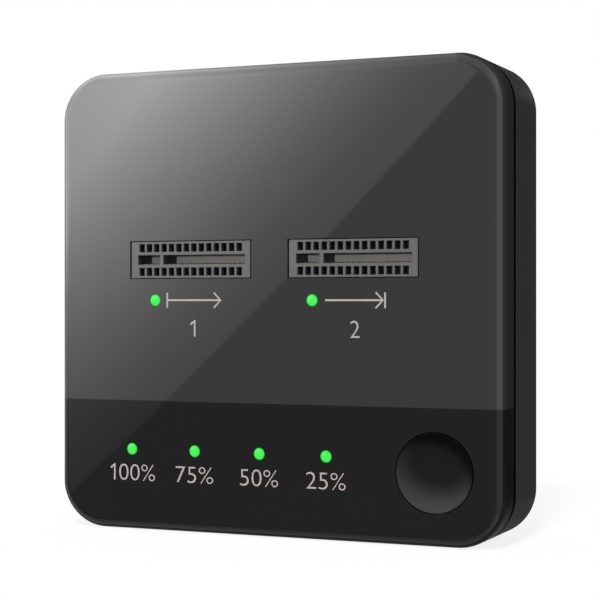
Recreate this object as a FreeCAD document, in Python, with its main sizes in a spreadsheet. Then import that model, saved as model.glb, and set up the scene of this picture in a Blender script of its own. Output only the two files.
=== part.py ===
import FreeCAD, Part
import os
import re

import Sketcher

# A desktop drive duplicator: a flat square housing that stands on its lower edge.
# X runs to the right, Y from the face to the back, Z up from the lower edge.
# The origin lies under the middle of the object, on the surface it stands on.

document = FreeCAD.newDocument("drive_duplicator")
sheet = document.addObject("Spreadsheet::Sheet", "Sizes")
Vector = FreeCAD.Vector

SIZES = {
    # housing
    "body_width": 132.7,
    "body_height": 130.0,
    "corner_radius": 13.5,
    "front_shell_depth": 9.2,
    "reveal_width": 1.5,
    "rear_shell_depth": 22.0,
    "front_edge_radius": 3.5,
    "rear_edge_chamfer": 1.2,
    "front_wall": 2.2,
    "front_side_wall": 2.2,
    "back_wall": 2.2,
    "reveal_depth": 1.2,
    "lip_thickness": 1.2,
    "lip_overlap": 2.3,
    "lip_clearance": 0.1,
    "band_height": 36.7,
    "tongue_height": 4.0,
    "tongue_thickness": 1.0,
    "tongue_clearance": 0.2,
    # case screws and their bosses
    "boss_inset_x": 8.95,
    "boss_inset_z": 9.2,
    "front_boss_width": 5.0,
    "rear_boss_width": 7.8,
    "boss_meet_depth": 18.0,
    "screw_seat_depth": 22.0,
    "screw_radius": 1.45,
    "screw_length": 15.0,
    "screw_head_radius": 2.5,
    "screw_head_height": 1.9,
    "screw_head_clearance": 0.15,
    "thread_clearance": 0.03,
    "pass_clearance": 0.25,
    "tip_clearance": 1.0,
    # rubber feet
    "foot_radius": 6.0,
    "foot_proud": 1.5,
    "foot_spacing_x": 96.0,
    "foot_spacing_z": 92.0,
    # vent slots in the back
    "vent_width": 2.2,
    "vent_height": 30.0,
    "vent_pitch": 5.0,
    "vent_count": 11,
    "vent_low": 50.0,
    # main board
    "board_depth": 12.0,
    "board_thickness": 1.6,
    "board_gap": 2.0,
    "board_notch_gap": 0.6,
    "rest_width": 4.0,
    "rest_inset": 4.5,
    "rest_low": 30.0,
    "rest_high": 92.0,
    "rest_clearance": 0.05,
    # drive sockets
    "socket_spacing": 48.65,
    "socket_middle": 76.35,
    "socket_width": 37.0,
    "socket_height": 10.2,
    "socket_recess": 0.15,
    "socket_side_gap": 0.4,
    "socket_edge_gap": 0.25,
    "slot_height": 2.65,
    "slot_depth": 8.3,
    "short_slot_width": 6.9,
    "long_slot_width": 25.3,
    "slot_rib": 1.1,
    "slot_left_land": 2.1,
    "window_width": 1.65,
    "window_height": 2.25,
    "window_pitch": 2.335,
    "window_count": 14,
    "window_depth": 3.2,
    "window_row_offset": 3.35,
    "contact_thickness": 0.3,
    "contact_setback": 1.2,
    "contact_width": 0.5,
    "signal_pitch": 0.93,
    "signal_count": 7,
    "power_pitch": 1.65,
    "power_count": 15,
    # lamps
    "lamp_radius": 1.65,
    "lamp_clearance": 0.05,
    "lamp_gap": 0.3,
    "status_lamp_drop": 11.35,
    "source_lamp_x": -35.3,
    "target_lamp_x": 12.6,
    "progress_lamp_height": 22.9,
    "progress_lamp_x": -42.7,
    "progress_lamp_pitch": 19.8,
    "led_width": 3.2,
    "led_height": 2.6,
    "led_thickness": 1.4,
    # start button
    "button_inset": 18.95,
    "button_height": 19.6,
    "button_radius": 10.55,
    "button_gap": 0.3,
    "button_thickness": 4.2,
    "button_rim": 0.25,
    "button_dish_depth": 1.9,
    "button_dish_run": 3.6,
    "button_tab_reach": 12.6,
    "button_tab_width": 5.0,
    "button_tab_thickness": 1.2,
    "button_tab_gap": 0.1,
    "button_travel": 0.8,
    "button_stem_width": 4.0,
    "tact_size": 6.2,
    "tact_thickness": 3.6,
    "tact_floor": 1.2,
    "plunger_radius": 1.7,
    "plunger_proud": 1.0,
    "plunger_clearance": 0.05,
    "plunger_overrun": 0.4,
    # power inlet
    "inlet_x": -38.0,
    "inlet_width": 9.0,
    "inlet_thickness": 11.0,
    "inlet_length": 14.0,
    "inlet_nose_radius": 4.0,
    "inlet_nose_setback": 0.3,
    "inlet_bore_radius": 3.15,
    "inlet_bore_depth": 10.0,
    "inlet_pin_radius": 1.0,
    "inlet_leaf_width": 3.0,
    "inlet_leaf_thickness": 0.4,
    # host port
    "port_x": -8.0,
    "port_width": 12.2,
    "port_thickness": 11.8,
    "port_length": 17.0,
    "port_wall": 0.8,
    "port_setback": 0.3,
    "port_mouth_depth": 12.0,
    "port_step_width": 6.4,
    "port_step_height": 2.6,
    "port_tongue_width": 5.6,
    "port_tongue_thickness": 3.2,
    "opening_clearance": 0.2,
    # power switch
    "switch_x": 32.0,
    "switch_width": 15.0,
    "switch_thickness": 10.0,
    "switch_well_depth": 3.0,
    "switch_well_wall": 1.6,
    "switch_well_gap": 0.2,
    "switch_bezel": 1.2,
    "switch_body_width": 13.2,
    "switch_body_thickness": 8.8,
    "switch_body_length": 9.0,
    "rocker_half_width": 5.2,
    "rocker_thickness": 6.4,
    "rocker_rise": 1.5,
    "rocker_drop": 1.7,
    "rocker_tilt": 8.0,
    "rocker_swing_gap": 0.35,
    "rocker_side_gap": 0.2,
    "rocker_pivot_drop": 3.4,
    "rocker_pin_radius": 0.8,
    "rocker_pin_reach": 0.8,
    "rocker_pin_clearance": 0.05,
    "terminal_width": 3.0,
    "terminal_thickness": 0.8,
    "terminal_drop": 4.0,
    "terminal_spacing": 6.4,
    # parts that stand on the back of the board
    "capacitor_radius": 3.15,
    "capacitor_length": 7.7,
    "capacitor_x": 20.0,
    "capacitor_pitch": 10.5,
    "capacitor_drop": 26.0,
    "inductor_size": 9.6,
    "inductor_thickness": 4.2,
    "inductor_x": -44.0,
    "inductor_pitch": 12.6,
    "inductor_drop": 31.0,
    "package_chamfer": 0.25,
}

# Chip packages on the back of the board: middle x, middle height, width, height, thickness.
PACKAGES = {
    "controller_chip": (0.0, 66.0, 14.0, 14.0, 1.5),
    "source_bridge_chip": (-26.0, 74.0, 9.0, 9.0, 1.1),
    "target_bridge_chip": (26.0, 74.0, 9.0, 9.0, 1.1),
    "memory_chip": (21.0, 56.0, 11.0, 8.0, 1.1),
    "firmware_chip": (-20.0, 56.0, 5.2, 5.2, 1.7),
    "crystal": (0.0, 50.0, 11.0, 4.6, 3.4),
}
PACKAGE_SIZES = ("x", "middle", "wide", "high", "thick")

for package, values in PACKAGES.items():
    for word, value in zip(PACKAGE_SIZES, values):
        SIZES["%s_%s" % (package, word)] = value

# Places that follow from the sizes. Each is written once and read by every piece that meets there.
PLACES = {
    "half_width": "body_width / 2",
    "shell_depth": "front_shell_depth + reveal_width + rear_shell_depth",
    "face_y": "-(shell_depth + foot_proud) / 2",
    "back_y": "face_y + shell_depth",
    "wall_y": "face_y + front_wall",
    "rim_y": "face_y + front_shell_depth",
    "rear_rim_y": "rim_y + reveal_width",
    "lip_y": "rim_y - lip_overlap",
    "rear_wall_y": "back_y - back_wall",
    "rear_side_wall": "reveal_depth + lip_thickness",
    "rear_middle_y": "(rear_rim_y + back_y) / 2",
    "boss_x": "half_width - boss_inset_x",
    "boss_low": "boss_inset_z",
    "boss_high": "body_height - boss_inset_z",
    "boss_meet_y": "face_y + boss_meet_depth",
    "screw_seat_y": "face_y + screw_seat_depth",
    "screw_tip_y": "screw_seat_y - screw_length",
    "board_y": "face_y + board_depth",
    "board_back_y": "board_y + board_thickness",
    "board_side": "half_width - rear_side_wall - board_gap",
    "board_edge": "rear_side_wall + board_gap",
    "rest_x": "board_side - rest_inset",
    "foot_x": "foot_spacing_x / 2",
    "foot_low": "(body_height - foot_spacing_z) / 2",
    "foot_high": "(body_height + foot_spacing_z) / 2",
    "socket_x": "socket_spacing / 2",
    "socket_front_y": "face_y + socket_recess",
    "slot_low": "socket_middle - slot_height / 2",
    "slot_high": "socket_middle + slot_height / 2",
    "slot_floor_y": "socket_front_y + slot_depth",
    "status_lamp_height": "socket_middle - status_lamp_drop",
    "led_front_y": "board_y - led_thickness",
    "button_x": "half_width - button_inset",
    "button_back_y": "face_y + button_thickness",
    "tact_front_y": "board_y - tact_thickness",
    "plunger_front_y": "tact_front_y - plunger_proud",
    "plunger_back_y": "tact_front_y + button_travel + plunger_overrun",
    "top_wall_low": "body_height - rear_side_wall",
    "inlet_y": "board_back_y + inlet_thickness / 2",
    "inlet_top": "top_wall_low - opening_clearance",
    "inlet_low": "inlet_top - inlet_length",
    "inlet_nose_top": "body_height - inlet_nose_setback",
    "inlet_bore_low": "inlet_nose_top - inlet_bore_depth",
    "port_back_y": "board_back_y + port_thickness",
    "port_top": "body_height - port_setback",
    "port_low": "port_top - port_length",
    "port_floor": "port_top - port_mouth_depth",
    "port_step_y": "port_back_y - port_wall - port_step_height",
    "port_tongue_y": "(board_back_y + port_wall + port_step_y) / 2",
    "well_floor": "body_height - switch_well_depth",
    "bezel_top": "well_floor + switch_bezel",
    "pivot_height": "body_height - rocker_pivot_drop",
    "rocker_corner_rise": "rocker_rise + rocker_half_width * tan(rocker_tilt)",
    "rocker_reach": "sqrt(rocker_half_width^2 + rocker_corner_rise^2)",
    "cavity_half_width": "rocker_reach + rocker_swing_gap - 0.25",
    "cavity_half_thickness": "rocker_thickness / 2 + rocker_side_gap",
    "cavity_low": "pivot_height - rocker_reach - rocker_swing_gap",
    "switch_body_low": "well_floor - switch_body_length",
    "terminal_low": "switch_body_low - terminal_drop",
    "capacitor_height": "body_height - capacitor_drop",
    "inductor_height": "body_height - inductor_drop",
}

for row, (name, value) in enumerate(SIZES.items(), start=1):
    sheet.set("A%d" % row, name)
    sheet.set("B%d" % row, str(value))
    sheet.setAlias("B%d" % row, name)
document.recompute()


def bound(formula):
    """The formula as an expression on the cells of the sheet."""
    def cell(match):
        word = match.group(0)
        if word in PLACES:
            return "(%s)" % bound(PLACES[word])
        if word in SIZES:
            return "Sizes." + word
        return word
    return re.sub(r"[a-z][a-z_]*", cell, formula)


def number(formula):
    return float(sheet.evalExpression(bound(formula)))


# ---------------------------------------------------------------- sketches and features

def datum(sketch, kind, *geometry, to):
    """A dimension of the sketch that follows the sheet."""
    constraint = Sketcher.Constraint(kind, *geometry, number(to))
    index = sketch.addConstraint(constraint)
    sketch.setExpression("Constraints[%d]" % index, bound(to))


def place_point(sketch, curve, end, x, y):
    datum(sketch, "DistanceX", -1, 1, curve, end, to=x)
    datum(sketch, "DistanceY", -1, 1, curve, end, to=y)


def rectangle(sketch, left, right, low, high):
    x0, x1, y0, y1 = number(left), number(right), number(low), number(high)
    corners = [Vector(x0, y0), Vector(x1, y0), Vector(x1, y1), Vector(x0, y1)]
    first = sketch.GeometryCount
    for k in range(4):
        sketch.addGeometry(Part.LineSegment(corners[k], corners[(k + 1) % 4]))
    for k in range(4):
        following = first + (k + 1) % 4
        sketch.addConstraint(Sketcher.Constraint("Coincident", first + k, 2, following, 1))
        direction = "Vertical" if k % 2 else "Horizontal"
        sketch.addConstraint(Sketcher.Constraint(direction, first + k))
    place_point(sketch, first, 1, left, low)
    place_point(sketch, first + 2, 1, right, high)


def box_at(sketch, x, y, width, height):
    """A rectangle given by its middle."""
    rectangle(sketch, "%s - (%s) / 2" % (x, width), "%s + (%s) / 2" % (x, width),
              "%s - (%s) / 2" % (y, height), "%s + (%s) / 2" % (y, height))


def circle(sketch, x, y, radius):
    middle = Vector(number(x), number(y))
    index = sketch.addGeometry(Part.Circle(middle, Vector(0, 0, 1), number(radius)))
    datum(sketch, "Radius", index, to=radius)
    place_point(sketch, index, 3, x, y)


def housing_outline(sketch, inset):
    """The rounded square of the housing, drawn in from its outside by the inset."""
    left, right = number("-half_width + " + inset), number("half_width - " + inset)
    low, high = number(inset), number("body_height - " + inset)
    radius = number("corner_radius - " + inset)
    corners = ((right, low, -1, 1), (right, high, -1, -1), (left, high, 1, -1), (left, low, 1, 1))
    first = sketch.GeometryCount
    for k, (x, z, inward_x, inward_z) in enumerate(corners):
        middle = Vector(x + inward_x * radius, z + inward_z * radius)
        start = Vector(middle.x, z) if k % 2 == 0 else Vector(x, middle.y)
        end = Vector(x, middle.y) if k % 2 == 0 else Vector(middle.x, z)
        half = radius * 0.5 ** 0.5
        bulge = Vector(middle.x - inward_x * half, middle.y - inward_z * half)
        sketch.addGeometry(Part.Arc(start, bulge, end))
        x_next, z_next, toward_x, toward_z = corners[(k + 1) % 4]
        if k % 2 == 0:
            following = Vector(x_next, z_next + toward_z * radius)
        else:
            following = Vector(x_next + toward_x * radius, z_next)
        sketch.addGeometry(Part.LineSegment(end, following))
    for k in range(8):
        following = first + (k + 1) % 8
        sketch.addConstraint(Sketcher.Constraint("Tangent", first + k, 2, following, 1))
    for k in range(4):
        direction = "Horizontal" if k % 2 else "Vertical"
        sketch.addConstraint(Sketcher.Constraint(direction, first + 2 * k + 1))
        if k:
            sketch.addConstraint(Sketcher.Constraint("Equal", first, first + 2 * k))
    datum(sketch, "Radius", first, to="corner_radius - " + inset)
    datum(sketch, "DistanceX", -1, 1, first + 1, 1, to="half_width - " + inset)
    datum(sketch, "DistanceX", -1, 1, first + 5, 1, to="-half_width + " + inset)
    datum(sketch, "DistanceY", -1, 1, first + 3, 1, to="body_height - " + inset)
    datum(sketch, "DistanceY", -1, 1, first + 7, 1, to=inset)


def polygon(sketch, corners):
    """Straight lines through the corners, each corner placed by its own two dimensions."""
    points = [Vector(number(x), number(y)) for x, y in corners]
    first = sketch.GeometryCount
    count = len(points)
    for k in range(count):
        sketch.addGeometry(Part.LineSegment(points[k], points[(k + 1) % count]))
    for k, (x, y) in enumerate(corners):
        previous = first + (k - 1) % count
        sketch.addConstraint(Sketcher.Constraint("Coincident", previous, 2, first + k, 1))
        place_point(sketch, first + k, 1, x, y)


# Each direction of extrusion: the plane it starts from, and that plane's own sense along it.
PLANES = {"X": ("YZ_Plane", 1), "Y": ("XZ_Plane", -1), "Z": ("XY_Plane", 1)}


def new_body(label):
    body = document.addObject("PartDesign::Body", label)
    body.Label = label
    return body


def new_sketch(body, name, along, start):
    role, sense = PLANES[along]
    sketch = body.newObject("Sketcher::SketchObject", name + "_sketch")
    plane = next(f for f in body.Origin.OriginFeatures if f.Role == role)
    sketch.AttachmentSupport = [(plane, "")]
    sketch.MapMode = "FlatFace"
    sketch.setExpression("AttachmentOffset.Base.z", bound("%d * (%s)" % (sense, start)))
    return sketch


def extrude(body, kind, name, along, start, end, draw):
    sketch = new_sketch(body, name, along, start)
    draw(sketch)
    feature = body.newObject("PartDesign::" + kind, name)
    feature.Profile = sketch
    feature.setExpression("Length", bound("(%s) - (%s)" % (end, start)))
    sense = PLANES[along][1]
    feature.Reversed = (kind == "Pad") == (sense < 0)
    document.recompute()
    return feature


def grow(body, name, along, start, end, draw):
    """Add what draw outlines, from start to end along an axis."""
    return extrude(body, "Pad", name, along, start, end, draw)


def carve(body, name, along, start, end, draw):
    """Cut what draw outlines, from start to end along an axis, and check that it did cut."""
    before = body.Shape.Volume
    feature = extrude(body, "Pocket", name, along, start, end, draw)
    if not body.Shape.Volume < before:
        raise RuntimeError("%s cut nothing from %s" % (name, body.Label))
    return feature


def repeat(body, feature, name, pitch, count):
    """Copies of a feature in a row along X."""
    pattern = body.newObject("PartDesign::LinearPattern", name)
    pattern.Originals = [feature]
    pattern.Direction = (feature.Profile[0], ["H_Axis"])
    pattern.setExpression("Length", bound("%s * (%s - 1)" % (pitch, count)))
    pattern.setExpression("Occurrences", bound(count))
    body.Tip = pattern
    document.recompute()
    return pattern


def treat_edges(body, kind, name, size, wanted):
    """A fillet or chamfer on the edges that the test picks."""
    base = body.Tip
    edges = base.Shape.Edges
    names = ["Edge%d" % k for k, edge in enumerate(edges, start=1) if wanted(edge.BoundBox)]
    feature = body.newObject("PartDesign::" + kind, name)
    feature.Base = (base, names)
    feature.setExpression("Radius" if kind == "Fillet" else "Size", bound(size))
    document.recompute()
    return feature


def edges_at_y(place):
    """A test for the edges that lie flat at a place along Y."""
    y = number(place)
    return lambda box: abs(box.YMin - y) < 1e-4 and abs(box.YMax - y) < 1e-4


def spin(body, name, corners):
    """A solid turned about the body's own Y axis; each corner is its radius and its y."""
    sketch = new_sketch(body, name, "Z", "0")
    polygon(sketch, corners)
    feature = body.newObject("PartDesign::Revolution", name)
    feature.Profile = sketch
    feature.ReferenceAxis = (sketch, ["V_Axis"])
    document.recompute()


def stand_at(body, x, z):
    body.setExpression("Placement.Base.x", bound(x))
    body.setExpression("Placement.Base.z", bound(z))
    document.recompute()


def four(draw_one, x, low, high):
    """The same outline at four places, left and right, low and high."""
    def draw(sketch):
        for side in ("-" + x, x):
            for level in (low, high):
                draw_one(sketch, side, level)
    return draw


def round_at(radius):
    return lambda sketch, x, z: circle(sketch, x, z, radius)


def square_of(width):
    return lambda sketch, x, z: box_at(sketch, x, z, width, width)


# ---------------------------------------------------------------- front shell and control fascia

def board_rests(sketch, levels):
    """Square pillars beside the long edges of the main board, which is held between them."""
    for x in ("-rest_x", "rest_x"):
        for level in levels:
            box_at(sketch, x, level, "rest_width", "rest_width")


def front_moulding(label, removed_low, removed_high, boss_level, rest_level):
    """The front half of the housing less the part that the other front moulding makes."""
    body = new_body(label)
    grow(body, "block", "Y", "face_y", "rim_y", lambda s: housing_outline(s, "0"))
    treat_edges(body, "Fillet", "front_round", "front_edge_radius", edges_at_y("face_y"))
    carve(body, "hollow", "Y", "wall_y", "rim_y",
          lambda s: housing_outline(s, "front_side_wall"))
    carve(body, "lip_seat", "Y", "lip_y - lip_clearance", "rim_y",
          lambda s: housing_outline(s, "(reveal_depth - lip_clearance)"))
    carve(body, "other_half", "Y", "face_y", "rim_y",
          lambda s: rectangle(s, "-body_width", "body_width", removed_low, removed_high))

    def at_bosses(draw_one):
        def draw(sketch):
            for x in ("-boss_x", "boss_x"):
                draw_one(sketch, x, boss_level)
        return draw

    grow(body, "screw_bosses", "Y", "wall_y - front_wall / 2", "boss_meet_y",
         at_bosses(square_of("front_boss_width")))
    carve(body, "screw_pilots", "Y", "screw_tip_y - tip_clearance", "boss_meet_y",
          at_bosses(round_at("screw_radius + thread_clearance")))
    grow(body, "board_rests", "Y", "wall_y - front_wall / 2", "board_y - rest_clearance",
         lambda s: board_rests(s, (rest_level,)))
    return body


def status_lamps(sketch, radius):
    circle(sketch, "source_lamp_x", "status_lamp_height", radius)
    circle(sketch, "target_lamp_x", "status_lamp_height", radius)


front_shell = front_moulding("front_shell", "-body_height", "band_height",
                             "boss_high", "rest_high")


def socket_openings(sketch):
    for x in ("-socket_x", "socket_x"):
        box_at(sketch, x, "socket_middle", "socket_width + 2 * socket_side_gap",
               "socket_height + 2 * socket_edge_gap")


carve(front_shell, "socket_windows", "Y", "face_y", "wall_y", socket_openings)
carve(front_shell, "lamp_holes", "Y", "face_y", "wall_y",
      lambda s: status_lamps(s, "lamp_radius + lamp_clearance"))

# The black band is a moulding of its own. Its tongue laps behind the front shell's wall.
control_fascia = front_moulding("control_fascia", "band_height", "2 * body_height",
                                "boss_low", "rest_low")
grow(control_fascia, "lap_tongue", "Y", "wall_y", "wall_y + tongue_thickness",
     lambda s: rectangle(s, "-half_width + front_side_wall + tongue_clearance",
                         "half_width - front_side_wall - tongue_clearance",
                         "band_height - tongue_height", "band_height + tongue_height"))
lamp_hole = carve(control_fascia, "lamp_hole", "Y", "face_y", "wall_y",
                  lambda s: circle(s, "progress_lamp_x", "progress_lamp_height",
                                   "lamp_radius + lamp_clearance"))
repeat(control_fascia, lamp_hole, "lamp_holes", "progress_lamp_pitch", "4")
carve(control_fascia, "button_hole", "Y", "face_y", "wall_y",
      lambda s: circle(s, "button_x", "button_height", "button_radius + button_gap"))


# ---------------------------------------------------------------- rear shell

rear_shell = new_body("rear_shell")
grow(rear_shell, "block", "Y", "rear_rim_y", "back_y", lambda s: housing_outline(s, "0"))
treat_edges(rear_shell, "Chamfer", "rear_edge", "rear_edge_chamfer", edges_at_y("back_y"))
grow(rear_shell, "lip", "Y", "lip_y", "rear_rim_y + lip_overlap",
     lambda s: housing_outline(s, "reveal_depth"))
carve(rear_shell, "hollow", "Y", "lip_y", "rear_wall_y",
      lambda s: housing_outline(s, "rear_side_wall"))

# The switch sits in a well of its own, so that its raised end stays below the outside.
grow(rear_shell, "switch_well", "Z", "well_floor - switch_well_wall",
     "body_height - rear_side_wall / 2",
     lambda s: box_at(s, "switch_x", "rear_middle_y",
                      "switch_width + 2 * switch_well_gap + 2 * switch_well_wall",
                      "switch_thickness + 2 * switch_well_gap + 2 * switch_well_wall"))
carve(rear_shell, "well_mouth", "Z", "well_floor", "body_height",
      lambda s: box_at(s, "switch_x", "rear_middle_y", "switch_width + 2 * switch_well_gap",
                       "switch_thickness + 2 * switch_well_gap"))
carve(rear_shell, "well_window", "Z", "well_floor - switch_well_wall", "well_floor",
      lambda s: box_at(s, "switch_x", "rear_middle_y",
                       "switch_body_width + 2 * opening_clearance",
                       "switch_body_thickness + 2 * opening_clearance"))
carve(rear_shell, "port_window", "Z", "top_wall_low", "body_height",
      lambda s: rectangle(s, "port_x - port_width / 2 - opening_clearance",
                          "port_x + port_width / 2 + opening_clearance",
                          "board_back_y - opening_clearance",
                          "port_back_y + opening_clearance"))
carve(rear_shell, "inlet_hole", "Z", "top_wall_low", "body_height",
      lambda s: circle(s, "inlet_x", "inlet_y", "inlet_nose_radius + opening_clearance"))

grow(rear_shell, "screw_bosses", "Y", "boss_meet_y", "back_y - back_wall / 2",
     four(square_of("rear_boss_width"), "boss_x", "boss_low", "boss_high"))
carve(rear_shell, "screw_holes", "Y", "boss_meet_y", "screw_seat_y",
      four(round_at("screw_radius + pass_clearance"), "boss_x", "boss_low", "boss_high"))
carve(rear_shell, "screw_wells", "Y", "screw_seat_y", "back_y",
      four(round_at("screw_head_radius + screw_head_clearance"),
           "boss_x", "boss_low", "boss_high"))

grow(rear_shell, "board_rests", "Y", "board_back_y", "back_y - back_wall / 2",
     lambda s: board_rests(s, ("rest_low", "rest_high")))

vent_slot = carve(rear_shell, "vent_slot", "Y", "rear_wall_y", "back_y",
                  lambda s: rectangle(s, "-vent_pitch * (vent_count - 1) / 2 - vent_width / 2",
                                      "-vent_pitch * (vent_count - 1) / 2 + vent_width / 2",
                                      "vent_low", "vent_low + vent_height"))
repeat(rear_shell, vent_slot, "vent_slots", "vent_pitch", "vent_count")


# ---------------------------------------------------------------- feet and screws

rubber_feet = new_body("rubber_feet")
grow(rubber_feet, "pads", "Y", "back_y", "back_y + foot_proud",
     four(round_at("foot_radius"), "foot_x", "foot_low", "foot_high"))

case_screws = new_body("case_screws")
grow(case_screws, "shanks", "Y", "screw_tip_y", "screw_seat_y",
     four(round_at("screw_radius"), "boss_x", "boss_low", "boss_high"))
grow(case_screws, "heads", "Y", "screw_seat_y", "screw_seat_y + screw_head_height",
     four(round_at("screw_head_radius"), "boss_x", "boss_low", "boss_high"))


# ---------------------------------------------------------------- main board

main_board = new_body("main_board")
grow(main_board, "sheet", "Y", "board_y", "board_back_y",
     lambda s: rectangle(s, "-board_side", "board_side", "board_edge",
                         "body_height - board_edge"))


def around_bosses(sketch, x, z):
    """A notch as wide as a screw boss with its gap, open over the corner of the board."""
    box_at(sketch, x, z, "2 * (board_side - boss_x) + 2 * board_notch_gap",
           "2 * (board_side - boss_x) + 2 * board_notch_gap")


carve(main_board, "corner_notches", "Y", "board_y", "board_back_y",
      four(around_bosses, "boss_x", "boss_low", "boss_high"))


# ---------------------------------------------------------------- drive sockets

def drive_socket(label, middle):
    """A socket housing and its contacts. The short slot is for signals, the long one for power."""
    left = "%s - socket_width / 2" % middle
    short_left = left + " + slot_left_land"
    short_right = short_left + " + short_slot_width"
    long_left = short_right + " + slot_rib"
    long_right = long_left + " + long_slot_width"
    row_left = "%s - window_pitch * (window_count - 1) / 2 - window_width / 2" % middle

    housing = new_body(label + "_socket_housing")
    grow(housing, "block", "Y", "socket_front_y", "board_y",
         lambda s: box_at(s, middle, "socket_middle", "socket_width", "socket_height"))

    def slots(sketch):
        rectangle(sketch, short_left, short_right, "slot_low", "slot_high")
        rectangle(sketch, long_left, long_right, "slot_low", "slot_high")

    carve(housing, "blade_slots", "Y", "socket_front_y", "slot_floor_y", slots)

    def windows(sketch):
        for row in ("- window_row_offset", "+ window_row_offset"):
            rectangle(sketch, row_left, row_left + " + window_width",
                      "socket_middle %s - window_height / 2" % row,
                      "socket_middle %s + window_height / 2" % row)

    window_pair = carve(housing, "window_pair", "Y", "socket_front_y",
                        "socket_front_y + window_depth", windows)
    repeat(housing, window_pair, "window_rows", "window_pitch", "window_count")

    # Flat contacts lie on the lower side of each slot, from its floor towards its mouth.
    contacts = new_body(label + "_socket_contacts")
    rows = (("signal", short_left + " + short_slot_width / 2"),
            ("power", long_left + " + long_slot_width / 2"))
    for kind, slot_middle in rows:
        first = "%s - %s_pitch * (%s_count - 1) / 2" % (slot_middle, kind, kind)
        strip = grow(contacts, kind + "_strip", "Y", "socket_front_y + contact_setback",
                     "slot_floor_y",
                     lambda s: rectangle(s, first + " - contact_width / 2",
                                         first + " + contact_width / 2",
                                         "slot_low", "slot_low + contact_thickness"))
        repeat(contacts, strip, kind + "_contacts", kind + "_pitch", kind + "_count")


drive_socket("source", "-socket_x")
drive_socket("target", "socket_x")


# ---------------------------------------------------------------- lamps

LAMPS = [("source", "source_lamp_x", "status_lamp_height"),
         ("target", "target_lamp_x", "status_lamp_height")]
for index in range(4):
    LAMPS.append(("progress_%d" % (index + 1),
                  "progress_lamp_x + %d * progress_lamp_pitch" % index,
                  "progress_lamp_height"))

for label, x, z in LAMPS:
    pipe = new_body(label + "_light_pipe")
    grow(pipe, "rod", "Y", "face_y", "led_front_y - lamp_gap",
         lambda s: circle(s, x, z, "lamp_radius"))
    led = new_body(label + "_led")
    grow(led, "package", "Y", "led_front_y", "board_y",
         lambda s: box_at(s, x, z, "led_width", "led_height"))


# ---------------------------------------------------------------- start button

start_button = new_body("start_button")
dish_rim = "button_radius - button_rim"
spin(start_button, "cap", (("0", "face_y + button_dish_depth"),
                           (dish_rim + " - button_dish_run", "face_y + button_dish_depth"),
                           (dish_rim, "face_y"),
                           ("button_radius", "face_y"),
                           ("button_radius", "button_back_y"),
                           ("0", "button_back_y")))
grow(start_button, "tabs", "Y", "wall_y + button_tab_gap",
     "wall_y + button_tab_gap + button_tab_thickness",
     lambda s: box_at(s, "0", "0", "button_tab_width", "2 * button_tab_reach"))
grow(start_button, "stem", "Y", "button_back_y", "plunger_front_y",
     lambda s: box_at(s, "0", "0", "button_stem_width", "button_stem_width"))
stand_at(start_button, "button_x", "button_height")

tact_switch = new_body("tact_switch_body")
grow(tact_switch, "case", "Y", "tact_front_y", "board_y",
     lambda s: box_at(s, "button_x", "button_height", "tact_size", "tact_size"))
carve(tact_switch, "plunger_bore", "Y", "tact_front_y", "board_y - tact_floor",
      lambda s: circle(s, "button_x", "button_height", "plunger_radius + plunger_clearance"))

plunger = new_body("tact_switch_plunger")
grow(plunger, "rod", "Y", "plunger_front_y", "plunger_back_y",
     lambda s: circle(s, "button_x", "button_height", "plunger_radius"))


# ---------------------------------------------------------------- power inlet

inlet = new_body("power_inlet_body")
grow(inlet, "case", "Z", "inlet_low", "inlet_top",
     lambda s: box_at(s, "inlet_x", "inlet_y", "inlet_width", "inlet_thickness"))
grow(inlet, "nose", "Z", "inlet_top - opening_clearance", "inlet_nose_top",
     lambda s: circle(s, "inlet_x", "inlet_y", "inlet_nose_radius"))
carve(inlet, "bore", "Z", "inlet_bore_low", "inlet_nose_top",
      lambda s: circle(s, "inlet_x", "inlet_y", "inlet_bore_radius"))
carve(inlet, "leaf_slot", "Z", "inlet_bore_low", "inlet_top - inlet_leaf_width",
      lambda s: rectangle(s, "inlet_x - inlet_leaf_width / 2", "inlet_x + inlet_leaf_width / 2",
                          "inlet_y", "inlet_y + inlet_thickness / 2"))

inlet_pin = new_body("power_inlet_pin")
grow(inlet_pin, "pin", "Z", "inlet_bore_low", "inlet_nose_top - 2 * inlet_pin_radius",
     lambda s: circle(s, "inlet_x", "inlet_y", "inlet_pin_radius"))

inlet_leaf = new_body("power_inlet_contact")
grow(inlet_leaf, "leaf", "Z", "inlet_bore_low", "inlet_top - inlet_leaf_width",
     lambda s: rectangle(s, "inlet_x - inlet_leaf_width / 2", "inlet_x + inlet_leaf_width / 2",
                         "inlet_y + inlet_bore_radius",
                         "inlet_y + inlet_bore_radius + inlet_leaf_thickness"))


# ---------------------------------------------------------------- host port

port_shell = new_body("host_port_shell")
grow(port_shell, "case", "Z", "port_low", "port_top",
     lambda s: rectangle(s, "port_x - port_width / 2", "port_x + port_width / 2",
                         "board_back_y", "port_back_y"))
carve(port_shell, "wide_mouth", "Z", "port_floor", "port_top",
      lambda s: rectangle(s, "port_x - port_width / 2 + port_wall",
                          "port_x + port_width / 2 - port_wall",
                          "board_back_y + port_wall", "port_step_y"))
carve(port_shell, "narrow_mouth", "Z", "port_floor", "port_top",
      lambda s: box_at(s, "port_x", "port_step_y + port_step_height / 2",
                       "port_step_width", "port_step_height"))

port_tongue = new_body("host_port_tongue")
grow(port_tongue, "tongue", "Z", "port_floor", "port_top - 2 * port_wall",
     lambda s: box_at(s, "port_x", "port_tongue_y", "port_tongue_width",
                      "port_tongue_thickness"))


# ---------------------------------------------------------------- power switch

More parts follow.
